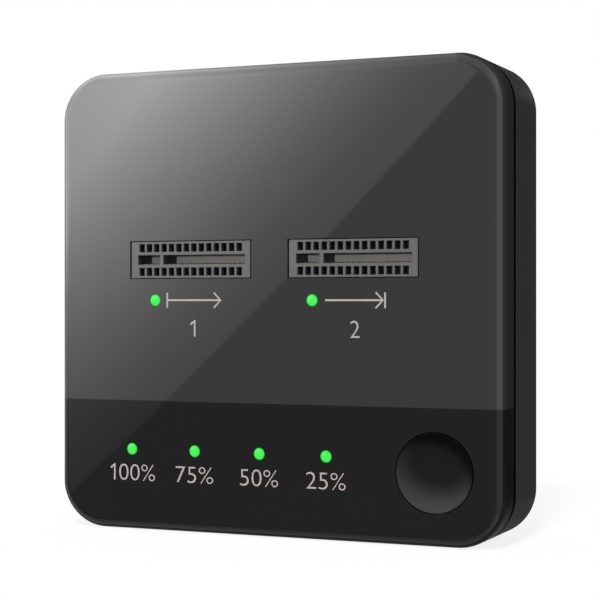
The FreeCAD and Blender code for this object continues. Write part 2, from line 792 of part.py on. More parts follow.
switch_body = new_body("power_switch_body")
grow(switch_body, "bezel", "Z", "well_floor", "bezel_top",
     lambda s: box_at(s, "switch_x", "rear_middle_y", "switch_width", "switch_thickness"))
grow(switch_body, "case", "Z", "switch_body_low", "bezel_top",
     lambda s: box_at(s, "switch_x", "rear_middle_y", "switch_body_width",
                      "switch_body_thickness"))
carve(switch_body, "rocker_room", "Z", "cavity_low", "bezel_top",
      lambda s: box_at(s, "switch_x", "rear_middle_y", "2 * cavity_half_width",
                       "2 * cavity_half_thickness"))
carve(switch_body, "pivot_bores", "Y", "rear_middle_y - switch_body_thickness / 2",
      "rear_middle_y + switch_body_thickness / 2",
      lambda s: circle(s, "switch_x", "pivot_height",
                       "rocker_pin_radius + rocker_pin_clearance"))

# The rocker rests with its low end level. Its two faces slope up from the middle.
rocker = new_body("power_switch_rocker")
grow(rocker, "paddle", "Y", "-rocker_thickness / 2", "rocker_thickness / 2",
     lambda s: polygon(s, (("-rocker_half_width", "-rocker_drop"),
                           ("rocker_half_width", "-rocker_drop"),
                           ("rocker_half_width", "rocker_corner_rise"),
                           ("0", "rocker_rise"),
                           ("-rocker_half_width", "rocker_corner_rise"))))
grow(rocker, "pivot_pin", "Y", "-cavity_half_thickness - rocker_pin_reach",
     "cavity_half_thickness + rocker_pin_reach",
     lambda s: circle(s, "0", "0", "rocker_pin_radius"))
rocker.Placement = FreeCAD.Placement(Vector(0, 0, 0), FreeCAD.Rotation(Vector(0, 1, 0), 1))
rocker.setExpression("Placement.Rotation.Angle", bound("rocker_tilt"))
rocker.setExpression("Placement.Base.y", bound("rear_middle_y"))
stand_at(rocker, "switch_x", "pivot_height")

terminals = new_body("power_switch_terminals")
for side in ("-", "+"):
    x = "switch_x %s terminal_spacing / 2" % side
    name = "left" if side == "-" else "right"
    grow(terminals, name + "_drop", "Z", "terminal_low", "switch_body_low",
         lambda s: box_at(s, x, "rear_middle_y", "terminal_width", "terminal_thickness"))
    grow(terminals, name + "_run", "Y", "board_back_y", "rear_middle_y + terminal_thickness / 2",
         lambda s: rectangle(s, "%s - terminal_width / 2" % x, "%s + terminal_width / 2" % x,
                             "terminal_low", "terminal_low + terminal_thickness"))


# ---------------------------------------------------------------- parts on the back of the board

for label in PACKAGES:
    chip = new_body(label)
    top = "board_back_y + %s_thick" % label
    grow(chip, "package", "Y", "board_back_y", top,
         lambda s: box_at(s, label + "_x", label + "_middle", label + "_wide", label + "_high"))
    treat_edges(chip, "Chamfer", "top_edges", "package_chamfer", edges_at_y(top))

for index in range(2):
    inductor = new_body("power_inductor_%d" % (index + 1))
    x = "inductor_x + %d * inductor_pitch" % index
    top = "board_back_y + inductor_thickness"
    grow(inductor, "block", "Y", "board_back_y", top,
         lambda s: box_at(s, x, "inductor_height", "inductor_size", "inductor_size"))
    treat_edges(inductor, "Chamfer", "top_edges", "2 * package_chamfer", edges_at_y(top))

for index in range(3):
    capacitor = new_body("capacitor_%d" % (index + 1))
    x = "capacitor_x + %d * capacitor_pitch" % index
    grow(capacitor, "can", "Y", "board_back_y", "board_back_y + capacitor_length",
         lambda s: circle(s, x, "capacitor_height", "capacitor_radius"))


# ---------------------------------------------------------------- check and write

document.recompute()
for item in document.Objects:
    if "Invalid" in item.State or "Error" in item.State:
        raise RuntimeError("%s did not build: %s" % (item.Label, item.State))

bodies = [item for item in document.Objects if item.TypeId == "PartDesign::Body"]
for body in bodies:
    if body.Shape.isNull() or not body.Shape.isValid():
        raise RuntimeError("%s has no valid shape" % body.Label)

os.makedirs("parts", exist_ok=True)
for body in bodies:
    body.Shape.exportStep(os.path.join("parts", body.Label + ".step"))
print("%d parts written" % len(bodies))
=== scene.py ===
import math

import bmesh
import bpy
from mathutils import Matrix, Vector


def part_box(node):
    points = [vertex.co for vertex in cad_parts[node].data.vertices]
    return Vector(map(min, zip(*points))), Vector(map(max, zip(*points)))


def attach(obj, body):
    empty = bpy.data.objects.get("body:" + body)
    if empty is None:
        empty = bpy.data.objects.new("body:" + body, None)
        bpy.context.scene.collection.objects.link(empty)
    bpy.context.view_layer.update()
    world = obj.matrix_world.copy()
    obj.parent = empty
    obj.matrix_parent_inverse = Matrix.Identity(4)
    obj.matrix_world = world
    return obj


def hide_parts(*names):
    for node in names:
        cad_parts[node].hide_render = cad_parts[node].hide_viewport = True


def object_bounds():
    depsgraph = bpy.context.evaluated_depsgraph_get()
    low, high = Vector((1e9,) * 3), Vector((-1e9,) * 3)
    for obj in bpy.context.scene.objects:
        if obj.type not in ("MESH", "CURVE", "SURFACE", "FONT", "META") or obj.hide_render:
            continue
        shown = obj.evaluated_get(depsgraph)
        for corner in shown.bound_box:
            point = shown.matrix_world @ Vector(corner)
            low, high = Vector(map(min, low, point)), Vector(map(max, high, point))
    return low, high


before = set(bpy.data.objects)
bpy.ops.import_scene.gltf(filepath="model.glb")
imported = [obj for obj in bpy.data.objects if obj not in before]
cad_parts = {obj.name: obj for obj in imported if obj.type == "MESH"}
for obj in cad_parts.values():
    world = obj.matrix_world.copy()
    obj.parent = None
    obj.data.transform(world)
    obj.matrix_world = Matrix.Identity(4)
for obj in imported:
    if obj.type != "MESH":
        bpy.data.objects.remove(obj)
cad_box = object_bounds()
MM = 0.001


# ---------------------------------------------------------------- rear shell
# The deep back half of the case, injection moulded in black plastic with a fine matt grain.
# Its lip enters the front mouldings, and it carries the screw wells, vents and connector openings.

class Field:
    """A value that varies over a surface. Arithmetic on it adds Math nodes to its tree."""

    def __init__(self, tree, socket):
        self.tree = tree
        self.socket = socket

    def __add__(self, other):
        return self.tree.maths("ADD", self, other)

    def __sub__(self, other):
        return self.tree.maths("SUBTRACT", self, other)

    def __rsub__(self, other):
        return self.tree.maths("SUBTRACT", other, self)

    def __mul__(self, other):
        return self.tree.maths("MULTIPLY", self, other)

    def __truediv__(self, other):
        return self.tree.maths("DIVIDE", self, other)

    def __gt__(self, other):
        return self.tree.maths("GREATER_THAN", self, other)

    __radd__ = __add__
    __rmul__ = __mul__


class Tree:
    """A node tree that is being written: one method adds any node, the others are shorthand."""

    def __init__(self, nodes):
        self.tree = nodes

    def node(self, kind, settings=None, values=None, output=0):
        """Add a node, set it up, feed its sockets, and return one of its outputs."""
        node = self.tree.nodes.new(kind)
        for name, setting in (settings or {}).items():
            setattr(node, name, setting)
        for name, value in (values or {}).items():
            socket = node.inputs[name]
            for given in value if isinstance(value, list) else [value]:
                if isinstance(given, Field):
                    self.tree.links.new(given.socket, socket)
                else:
                    socket.default_value = given
        return Field(self, node.outputs[output]) if len(node.outputs) else None

    def maths(self, operation, *terms):
        return self.node("ShaderNodeMath", {"operation": operation}, dict(enumerate(terms)))

    def between(self, field, low, high):
        """0 below low, 1 above high, and a smooth rise from one to the other."""
        return self.node("ShaderNodeMapRange", {"interpolation_type": "SMOOTHSTEP"},
                         {"Value": field, "From Min": low, "From Max": high})

    def mix(self, factor, first, second):
        """Two colours blended: sockets 6 and 7 of a colour Mix node, and its third output."""
        return self.node("ShaderNodeMix", {"data_type": "RGBA"},
                         {0: factor, 6: first, 7: second}, output=2)

    def noise(self, where, size, detail=2.0):
        return self.node("ShaderNodeTexNoise", None,
                         {"Vector": where, "Scale": 1.0 / size, "Detail": detail})

    def bump(self, height, depth, strength=1.0):
        return self.node("ShaderNodeBump", None,
                         {"Height": height, "Distance": depth, "Strength": strength})


class Finish(Tree):
    """A material: a Tree with its own coordinates and one Principled shader at its end."""

    def __init__(self, name):
        self.material = bpy.data.materials.new(name)
        self.material.use_nodes = True
        super().__init__(self.material.node_tree)
        self.tree.nodes.clear()
        self.place = self.node("ShaderNodeTexCoord", output="Object")

    def along(self, axis):
        return self.node("ShaderNodeSeparateXYZ", None, {0: self.place}, output=axis)

    def surface(self, values):
        shader = self.node("ShaderNodeBsdfPrincipled", None, values)
        self.node("ShaderNodeOutputMaterial", None, {"Surface": shader})
        return self.material


def paint(red, green, blue):
    """A colour as it is named on screen, 0 to 255, in the linear form that shaders use."""
    def linear(level):
        share = level / 255.0
        return share / 12.92 if share <= 0.04045 else ((share + 0.055) / 1.055) ** 2.4
    return (linear(red), linear(green), linear(blue), 1.0)


def shade(colour, factor):
    return tuple(min(1.0, part * factor) for part in colour[:3]) + (1.0,)


def moulded(name, colour, roughness, grain=0.35 * MM, depth=0.012 * MM, drift=0.08, level=0.5):
    """Moulded plastic: a colour that drifts a little, over the fine grain of the mould."""
    finish = Finish(name)
    cloud = finish.noise(finish.place, 14 * MM, 3.0)
    speck = finish.noise(finish.place, grain, 3.0)
    body = finish.mix(cloud, shade(colour, 1 - drift), shade(colour, 1 + drift))
    return finish.surface({
        "Base Color": body,
        "Roughness": roughness + (speck - 0.5) * 0.2 * roughness,
        "Specular IOR Level": level,
        "Normal": finish.bump(speck, depth),
    })


def plain_mesh(obj):
    """The evaluated shape of an object as a mesh of its own. The object goes."""
    depsgraph = bpy.context.evaluated_depsgraph_get()
    mesh = bpy.data.meshes.new_from_object(obj.evaluated_get(depsgraph), depsgraph=depsgraph)
    bpy.data.objects.remove(obj)
    return mesh


def scene_object(name, mesh):
    obj = bpy.data.objects.new(name, mesh)
    bpy.context.collection.objects.link(obj)
    return obj


def shaded_by_flats(mesh):
    """Turn each vertex normal towards the widest flat that meets there, so flats look flat."""
    shape = bmesh.new()
    shape.from_mesh(mesh)
    area = {}
    for face in shape.faces:
        if face in area:
            continue
        flat, front = {face}, [face]
        while front:
            for edge in front.pop().edges:
                for other in edge.link_faces:
                    if other not in flat and other.normal.dot(face.normal) > 0.99999:
                        flat.add(other)
                        front.append(other)
        total = sum(part.calc_area() for part in flat)
        area.update((part, total) for part in flat)
    normals = []
    for vertex in shape.verts:
        pull = sum((face.normal * area[face] for face in vertex.link_faces), Vector())
        normals.append(tuple(pull.normalized()))
    shape.free()
    mesh.normals_split_custom_set_from_vertices(normals)
    return mesh


SHARP = math.radians(32)


def eased(form, edge, steps=2):
    """A moulded form with its sharp edges rounded as a mould leaves them."""
    shape = bmesh.new()
    shape.from_mesh(form)
    bmesh.ops.remove_doubles(shape, verts=shape.verts, dist=1e-7)
    bmesh.ops.dissolve_limit(shape, angle_limit=0.008, verts=shape.verts, edges=shape.edges)
    for face in shape.faces:
        face.smooth = True
    mesh = bpy.data.meshes.new(form.name + "_eased")
    shape.to_mesh(mesh)
    shape.free()
    if "custom_normal" in mesh.attributes:
        mesh.attributes.remove(mesh.attributes["custom_normal"])
    obj = scene_object(mesh.name, mesh)
    bevel = obj.modifiers.new("edges", "BEVEL")
    bevel.width = edge
    bevel.segments = steps
    bevel.limit_method = "ANGLE"
    bevel.angle_limit = SHARP
    bevel.use_clamp_overlap = False
    return shaded_by_flats(plain_mesh(obj))


def cad_form(node):
    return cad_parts[node].data


def piece(name, mesh, replaces=(), material=None, body="housing"):
    """Put a finished mesh in the scene: its slot, what it stands for, its material, its body."""
    if material:
        mesh.materials.clear()
        mesh.materials.append(material)
    obj = scene_object(name, mesh)
    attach(obj, body)
    if replaces:
        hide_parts(*replaces)


def finish_node(material, *nodes):
    """A CAD piece that stays as it is, with a better material."""
    for node in nodes:
        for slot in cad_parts[node].material_slots:
            slot.material = material


LIP_OVERLAP = 2.3 * MM
REVEAL_WIDTH = 1.5 * MM
groove_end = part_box("rear_shell")[0][1] + LIP_OVERLAP + REVEAL_WIDTH

# The reveal that runs between the mouldings is painted black and without gloss: painted shade for
# the shadow in the groove.
rear = Finish("grained_black_plastic")
cloud = rear.noise(rear.place, 14 * MM, 3.0)
speck = rear.noise(rear.place, 0.35 * MM, 3.0)
painted_reveal_shade = rear.between(rear.along(1), groove_end + 0.3 * MM, groove_end + 0.1 * MM)
grained = rear.mix(cloud, paint(58, 58, 59), paint(64, 64, 65))
rear_plastic = rear.surface({
    "Base Color": rear.mix(painted_reveal_shade, grained, paint(4, 4, 4)),
    "Metallic": painted_reveal_shade,
    "Roughness": 0.38 + speck * 0.08 + painted_reveal_shade * 0.5,
    "Normal": rear.bump(speck, 0.012 * MM),
})
piece("rear_case", eased(cad_form("rear_shell"), 0.15 * MM),
      ["rear_shell"], rear_plastic)


# ---------------------------------------------------------------- power inlet
# A moulded barrel jack soldered to the board: a black nose in the round hole of the case,
# a nickel plated centre pin with a rounded tip, and a spring leaf at the side of the bore.

def corners(node):
    """The low and high corners of a CAD piece, and its middle."""
    low, high = (Vector(corner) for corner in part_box(node))
    return low, high, (low + high) / 2


def turned(profile, middle, axis="Y", sides=48):
    """A solid of revolution. The profile runs from pole to pole as (radius, place on the axis)."""
    form = bmesh.new()
    rings = []
    for radius, place in profile:
        count = sides if radius else 1
        ring = []
        for k in range(count):
            angle = 2 * math.pi * k / sides
            across, up = radius * math.cos(angle), radius * math.sin(angle)
            at = (across, place, up) if axis == "Y" else (across, up, place)
            ring.append(form.verts.new(Vector(at) + middle))
        rings.append(ring)
    for ring, following in zip(rings, rings[1:]):
        for k in range(sides):
            quad = [ring[k % len(ring)], ring[(k + 1) % len(ring)],
                    following[(k + 1) % len(following)], following[k % len(following)]]
            form.faces.new(list(dict.fromkeys(quad)))
    bmesh.ops.recalc_face_normals(form, faces=form.faces)
    for face in form.faces:
        face.smooth = True
    mesh = bpy.data.meshes.new("turned")
    form.to_mesh(mesh)
    form.free()
    mesh.set_sharp_from_angle(angle=SHARP)
    return mesh


def arc(centre, radius, start, end, steps):
    """Points of a round stretch of a profile. Angles in degrees, 0 is outwards from the axis."""
    points = []
    for k in range(steps + 1):
        angle = math.radians(start + (end - start) * k / steps)
        points.append((max(0.0, centre[0] + radius * math.cos(angle)),
                       centre[1] + radius * math.sin(angle)))
    return points


def metal(name, colour, roughness, scratch=0.6 * MM):
    """Plated metal: fine drawing lines and a roughness that drifts."""
    finish = Finish(name)
    cloud = finish.noise(finish.place, 2.5 * MM, 3.0)
    lines = finish.noise(finish.place, scratch, 4.0)
    return finish.surface({
        "Base Color": finish.mix(cloud, shade(colour, 0.88), shade(colour, 1.08)),
        "Metallic": 1.0,
        "Roughness": roughness + (cloud - 0.5) * 0.15,
        "Normal": finish.bump(lines, 0.006 * MM, 0.6),
    })


nickel = metal("nickel_plate", paint(196, 192, 184), 0.28)
gold = metal("gold_plate", paint(214, 176, 98), 0.25)
connector_black = moulded("connector_black_plastic", paint(34, 34, 35), 0.36, grain=0.2 * MM)

piece("inlet_barrel", eased(cad_form("power_inlet_body"), 0.12 * MM),
      ["power_inlet_body"], connector_black)

pin_low, pin_high, pin_middle = corners("power_inlet_pin")
pin_radius = (pin_high.x - pin_low.x) / 2
pin_root = Vector((pin_middle.x, pin_middle.y, 0))
pin_profile = [(0, pin_low.z), (pin_radius, pin_low.z)]
pin_profile += arc((0, pin_high.z - pin_radius), pin_radius, 0, 90, 8)
piece("inlet_pin", turned(pin_profile, pin_root, axis="Z", sides=32),
      ["power_inlet_pin"], nickel)
finish_node(nickel, "power_inlet_contact")


# ---------------------------------------------------------------- host port
# A square data socket in a folded, nickel plated steel shell, soldered to the board.
# Inside stands a pale insulating tongue with two stamped contacts on each of its faces.

class Rule(Tree):
    """A Geometry Nodes tree with named inputs for its sizes, run once to make a plain mesh."""

    KINDS = {int: "NodeSocketInt", float: "NodeSocketFloat"}

    def __init__(self, name, **sizes):
        super().__init__(bpy.data.node_groups.new(name, "GeometryNodeTree"))
        self.given = {}
        for word, value in sizes.items():
            socket = self.tree.interface.new_socket(word, in_out="INPUT",
                                                    socket_type=self.KINDS[type(value)])
            self.given[socket.identifier] = value
        self.tree.interface.new_socket("Geometry", in_out="OUTPUT",
                                       socket_type="NodeSocketGeometry")
        entry = self.tree.nodes.new("NodeGroupInput")
        self.size = {word: Field(self, entry.outputs[word]) for word in sizes}

    def point(self, x=0.0, y=0.0, z=0.0):
        return self.node("ShaderNodeCombineXYZ", None, {0: x, 1: y, 2: z})

    def block(self, x, y, z, at=None):
        solid = self.node("GeometryNodeMeshCube", None, {"Size": self.point(x, y, z)})
        return self.moved(solid, at) if at else solid

    def moved(self, geometry, at):
        return self.node("GeometryNodeTransform", None,
                         {"Geometry": geometry, "Translation": at})

    def row(self, count, pitch, start):
        """Points in a row along X, from the start."""
        return self.node("GeometryNodeMeshLine", {"mode": "OFFSET"},
                         {"Count": count, "Start Location": start,
                          "Offset": self.point(pitch)})

    def copies(self, points, shape):
        return self.node("GeometryNodeInstanceOnPoints", None,
                         {"Points": points, "Instance": shape})

    def joined(self, *parts):
        return self.node("GeometryNodeJoinGeometry", None, {0: list(parts)})

    def less(self, solid, *cuts):
        """The solid less what the cuts take out of it."""
        return self.node("GeometryNodeMeshBoolean", {"operation": "DIFFERENCE", "solver": "EXACT"},
                         {0: solid, 1: list(cuts)})

    def mesh(self, geometry, material):
        real = self.node("GeometryNodeRealizeInstances", None, {0: geometry})
        dressed = self.node("GeometryNodeSetMaterial", None,
                            {"Geometry": real, "Material": material})
        self.node("NodeGroupOutput", None, {0: dressed})
        obj = scene_object(self.tree.name, bpy.data.meshes.new(self.tree.name))
        modifier = obj.modifiers.new("rule", "NODES")
        modifier.node_group = self.tree
        for identifier, value in self.given.items():
            modifier[identifier] = value
        return plain_mesh(obj)


port_steel = metal("port_steel", paint(186, 187, 190), 0.3, scratch=0.3 * MM)
port_white = moulded("port_insulator_plastic", paint(206, 206, 200), 0.45, grain=0.15 * MM)

piece("host_port_case", eased(cad_form("host_port_shell"), 0.15 * MM),
      ["host_port_shell"], port_steel)
piece("host_port_insulator", eased(cad_form("host_port_tongue"), 0.2 * MM),
      ["host_port_tongue"], port_white)

tongue_low, tongue_high, tongue_middle = corners("host_port_tongue")
tongue_size = tongue_high - tongue_low
rule = Rule("host_port_contacts", width=1.0 * MM, proud=0.08 * MM, spacing=2.5 * MM,
            thickness=tongue_size.y, length=tongue_size.z - 1.6 * MM)
strip = rule.block(rule.size["width"], 2 * rule.size["proud"], rule.size["length"])
pair = rule.row(2, rule.size["spacing"],
                rule.point(rule.size["spacing"] * -0.5, rule.size["thickness"] * -0.5))
other_pair = rule.moved(pair, rule.point(0.0, rule.size["thickness"]))
contacts = rule.copies(rule.joined(pair, other_pair), strip)
piece("host_port_contacts",
      rule.mesh(rule.moved(contacts, tuple(tongue_middle)), gold))


# ---------------------------------------------------------------- power switch
# A small rocker switch in its own well beside the connectors: a black bezel and a satin
# black rocker on a moulded pin, with the usual line and ring printed on its two faces.

switch_plastic = moulded("switch_plastic", paint(38, 38, 39), 0.3, grain=0.25 * MM)
tin = metal("tinned_terminal", paint(186, 184, 178), 0.38)
mark_white = moulded("printed_white", paint(214, 214, 210), 0.5, grain=0.08 * MM,
                     depth=0.002 * MM)

piece("switch_bezel", eased(cad_form("power_switch_body"), 0.18 * MM, 3),
      ["power_switch_body"], switch_plastic)
piece("switch_rocker", eased(cad_form("power_switch_rocker"), 0.25 * MM, 3),
      ["power_switch_rocker"], switch_plastic, "rocker")
finish_node(tin, "power_switch_terminals")


INK_THICKNESS = 0.01 * MM
RING_POINTS = 32


def stroked(paths, width, rings=()):
    """Printed lines: round ended strokes and rings in the XZ plane, as one flat mesh."""
    curve = bpy.data.curves.new("strokes", "CURVE")
    curve.dimensions = "3D"
    curve.bevel_depth = width / 2
    curve.bevel_resolution = 3
    curve.use_fill_caps = True
    for path in paths:
        spline = curve.splines.new("POLY")
        spline.points.add(len(path) - 1)
        for point, (x, z) in zip(spline.points, path):
            point.co = (x, 0, z, 1)
    for x, z, radius in rings:
        spline = curve.splines.new("POLY")
        spline.points.add(RING_POINTS - 1)
        spline.use_cyclic_u = True
        for k, point in enumerate(spline.points):
            angle = 2 * math.pi * k / RING_POINTS
            point.co = (x + radius * math.cos(angle), 0, z + radius * math.sin(angle), 1)
    mesh = plain_mesh(scene_object("strokes", curve))
    mesh.transform(Matrix.Diagonal((1, INK_THICKNESS / width, 1, 1)))
    return mesh


def merged(name, *meshes):
    """Several meshes as one."""
    form = bmesh.new()
    for mesh in meshes:
        form.from_mesh(mesh)
    together = bpy.data.meshes.new(name)
    form.to_mesh(together)
    form.free()
    return together


# The marks are drawn upright, laid flat, and tipped with the face that each is printed on.
rocker_middle = corners("power_switch_rocker")[2]
ROCKER_LEAN = math.radians(8)
ROCKER_HALF = 5.2 * MM
ROCKER_RISE = 1.5 * MM
PIVOT_BELOW = 3.4 * MM
LINE_HALF = 0.9 * MM
LINE_WIDTH = 0.32 * MM
RING_RADIUS = 0.85 * MM
RING_WIDTH = 0.28 * MM
rocker_pivot = Vector((rocker_middle.x, rocker_middle.y, cad_box[1][2] - PIVOT_BELOW))
mark_place = ROCKER_HALF * 0.55
line_mark = stroked([[(0, -LINE_HALF), (0, LINE_HALF)]], LINE_WIDTH)
ring_mark = stroked([], RING_WIDTH, [(0, 0, RING_RADIUS)])
marks = []
for mark, side in ((line_mark, 1), (ring_mark, -1)):
    flat = Matrix.Rotation(math.radians(-90), 4, "X")
    tipped = Matrix.Rotation(-side * ROCKER_LEAN, 4, "Y")
    place = Matrix.Translation((side * mark_place, 0,
                                ROCKER_RISE + mark_place * math.tan(ROCKER_LEAN)))
    turn = Matrix.Rotation(ROCKER_LEAN, 4, "Y")
    mark.transform(Matrix.Translation(rocker_pivot) @ turn @ place @ tipped @ flat)
    marks.append(mark)
piece("switch_marks", merged("switch_marks", *marks), (), mark_white, "rocker")


# ---------------------------------------------------------------- main board
# A glass fibre board under a black solder mask, held between the square pillars of the
# case. Copper traces show faintly through the mask, and solder domes dot its back.

board_high, board_middle = corners("main_board")[1:]

mask = Finish("solder_mask")
tracks = mask.node("ShaderNodeTexBrick", {"offset": 0.37, "squash": 1.0}, {
    "Vector": mask.node("ShaderNodeMapping", None,
                        {"Vector": mask.place, "Rotation": (math.radians(90), 0, 0)}),
    "Scale": 1.0, "Mortar Size": 0.16 * MM, "Mortar Smooth": 0.2,
    "Brick Width": 9.0 * MM, "Row Height": 1.4 * MM}, output=1)
patches = mask.between(mask.noise(mask.place, 22 * MM, 1.0), 0.47, 0.53)
copper = tracks * patches
finish_node(mask.surface({
    "Base Color": mask.mix(copper, paint(18, 24, 22), paint(34, 46, 40)),
    "Roughness": 0.38 - copper * 0.08,
    "Normal": mask.bump(copper, 0.02 * MM),
}), "main_board")

rule = Rule("solder_joints", count=13, pitch=2.54 * MM, radius=0.75 * MM, height=0.7 * MM,
            spread=48.65 * MM, rows=5.08 * MM)
dome = rule.node("GeometryNodeMeshUVSphere", None,
                 {"Segments": 14, "Rings": 8, "Radius": rule.size["radius"]})
dome = rule.node("GeometryNodeTransform", None, {
    "Geometry": dome,
    "Scale": rule.point(1.0, rule.size["height"] / rule.size["radius"], 1.0)})
first = rule.size["pitch"] * (rule.size["count"] - 1) * -0.5
lines = []
for side in (-0.5, 0.5):
    for level in (-0.5, 0.5):
        start = rule.point(first + rule.size["spread"] * side, 0.0, rule.size["rows"] * level)
        lines.append(rule.row(rule.size["count"], rule.size["pitch"], start))
socket_level = corners("source_socket_housing")[2].z
joints = rule.moved(rule.copies(rule.joined(*lines), dome),
                    (board_middle.x, board_high.y, socket_level))
piece("solder_joints", rule.mesh(joints, tin))


# ---------------------------------------------------------------- chips
# Moulded epoxy packages with tinned leads that bend out and down to the board. A dimple
# marks the first lead. The crystal is a drawn metal can.

epoxy = moulded("chip_epoxy", paint(40, 40, 42), 0.55, grain=0.12 * MM, depth=0.006 * MM)
drawn_can = metal("drawn_can", paint(178, 178, 181), 0.3, scratch=0.2 * MM)
CHIPS = {"controller_chip": 32, "source_bridge_chip": 16, "target_bridge_chip": 16,
         "memory_chip": 18, "firmware_chip": 4}
LEAD_REACH = 0.9 * MM
LEAD_SHEET = 0.15 * MM
LEAD_MARGIN = 1.1 * MM

for chip, per_side in CHIPS.items():
    low, high, middle = corners(chip)
    run = high.x - low.x - 2 * LEAD_MARGIN
    pitch = run / (per_side - 1)
    rule = Rule(chip + "_leads", count=per_side, pitch=pitch, width=pitch * 0.5,
                reach=LEAD_REACH, sheet=LEAD_SHEET, height=(high.y - low.y) * 0.5,
                half=(high.z - low.z) / 2)
    size = rule.size
    shoulder = rule.block(size["width"], size["sheet"], size["reach"] * 0.5,
                          rule.point(0.0, size["height"], size["reach"] * 0.25))
    shin = rule.block(size["width"], size["height"], size["sheet"],
                      rule.point(0.0, size["height"] * 0.5, size["reach"] * 0.5))
    toe = rule.block(size["width"], size["sheet"], size["reach"] * 0.5,
                     rule.point(0.0, size["sheet"] * 0.5, size["reach"] * 0.75))
    lead = rule.joined(shoulder, shin, toe)
    upper = rule.copies(rule.row(size["count"], size["pitch"],
                                 rule.point(run / -2, 0.0, size["half"])), lead)
    lower = rule.node("GeometryNodeTransform", None,
                      {"Geometry": upper, "Rotation": (0.0, math.pi, 0.0)})
    leads = rule.moved(rule.joined(upper, lower), (middle.x, low.y, middle.z))
    piece(chip + "_leads", rule.mesh(leads, tin))

finish_node(epoxy, *CHIPS)
finish_node(drawn_can, "crystal")


# ---------------------------------------------------------------- coils and capacitors
# Shielded power coils of grey ferrite, and aluminium capacitor cans with a shallow dent in
# each top. A groove is rolled in near the foot of each can.

ferrite = moulded("ferrite", paint(58, 58, 61), 0.7, grain=0.25 * MM, depth=0.02 * MM)
finish_node(ferrite, "power_inductor_1", "power_inductor_2")

can = Finish("capacitor_can")
brushed = can.noise(can.place, 0.4 * MM, 4.0)
can_colour = can.mix(brushed, paint(176, 177, 180), paint(205, 206, 208))
can_finish = can.surface({
    "Base Color": can_colour,
    "Metallic": 1.0,
    "Roughness": 0.3 + brushed * 0.12,
    "Normal": can.bump(brushed, 0.008 * MM),
})
CAN_FOOT = 0.9 * MM
CAN_GROOVE = 0.25 * MM
CAN_CROWN = 0.5 * MM
CAN_DENT = 0.12 * MM
for index in range(1, 4):
    node = "capacitor_%d" % index
    low, high, middle = corners(node)
    radius = (high.x - low.x) / 2
    profile = [(0, low.y), (radius, low.y), (radius, low.y + CAN_FOOT)]
    profile += arc((radius, low.y + CAN_FOOT + CAN_GROOVE), CAN_GROOVE, 270, 90, 6)[1:]
    profile += arc((radius - CAN_CROWN, high.y - CAN_CROWN), CAN_CROWN, 0, 90, 6)
    profile += [(radius * 0.75, high.y), (radius * 0.72, high.y - CAN_DENT),
                (0, high.y - CAN_DENT)]
    piece(node + "_can", turned(profile, Vector((middle.x, 0, middle.z))),
          [node], can_finish)


# ---------------------------------------------------------------- drive sockets
# Two combined drive sockets of dark grey glass filled nylon. Each has a short keyed slot for
# signals, a long one for power, and two rows of moulding windows, and stands on the board.

WINDOW_WIDTH = 1.65 * MM
WINDOW_HEIGHT = 2.25 * MM
WINDOW_DEPTH = 3.2 * MM
WINDOW_PITCH = 2.335 * MM
WINDOW_COUNT = 14
WINDOW_OFFSET = 3.35 * MM
SLOT_HEIGHT = 2.65 * MM
SLOT_DEPTH = 8.3 * MM
# Each slot: where it starts from the left end of the housing, and its width.
SHORT_SLOT = (2.1 * MM, 6.9 * MM)
LONG_SLOT = (10.1 * MM, 25.3 * MM)
# The slot of each row of contacts, how many there are, and their pitch.
CONTACTS = ((SHORT_SLOT, 7, 0.93 * MM), (LONG_SLOT, 15, 1.65 * MM))
CONTACTS_FROM = 1.2 * MM
CONTACT_LIFT = 0.1 * MM
FLOOR_SHEET = 0.15 * MM
FLOOR_PLAY = 0.1 * MM

# Inside the windows and slots the nylon is painted darker the deeper it lies: painted shade for
# the little light that reaches those recesses.
nylon_finish = Finish("socket_nylon")
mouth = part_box("source_socket_housing")[0][1]
cloud = nylon_finish.noise(nylon_finish.place, 6 * MM, 3.0)
fibre = nylon_finish.noise(nylon_finish.place, 0.18 * MM, 3.0)
painted_recess_shade = nylon_finish.between(nylon_finish.along(1), mouth + 0.15 * MM, mouth + 1.6 * MM)
outside = nylon_finish.mix(cloud, paint(83, 83, 84), paint(91, 91, 92))
nylon = nylon_finish.surface({
    "Base Color": nylon_finish.mix(painted_recess_shade, outside, paint(43, 43, 44)),
    "Roughness": 0.45 + fibre * 0.1,
    "Normal": nylon_finish.bump(fibre, 0.01 * MM),
})
# The insulator's pale grey is painted light: it lifts the dim floors of the deep slots to the grey
# of the face.
lightened_insulator = moulded("pale_insulator", paint(168, 168, 168), 0.6, grain=0.2 * MM)

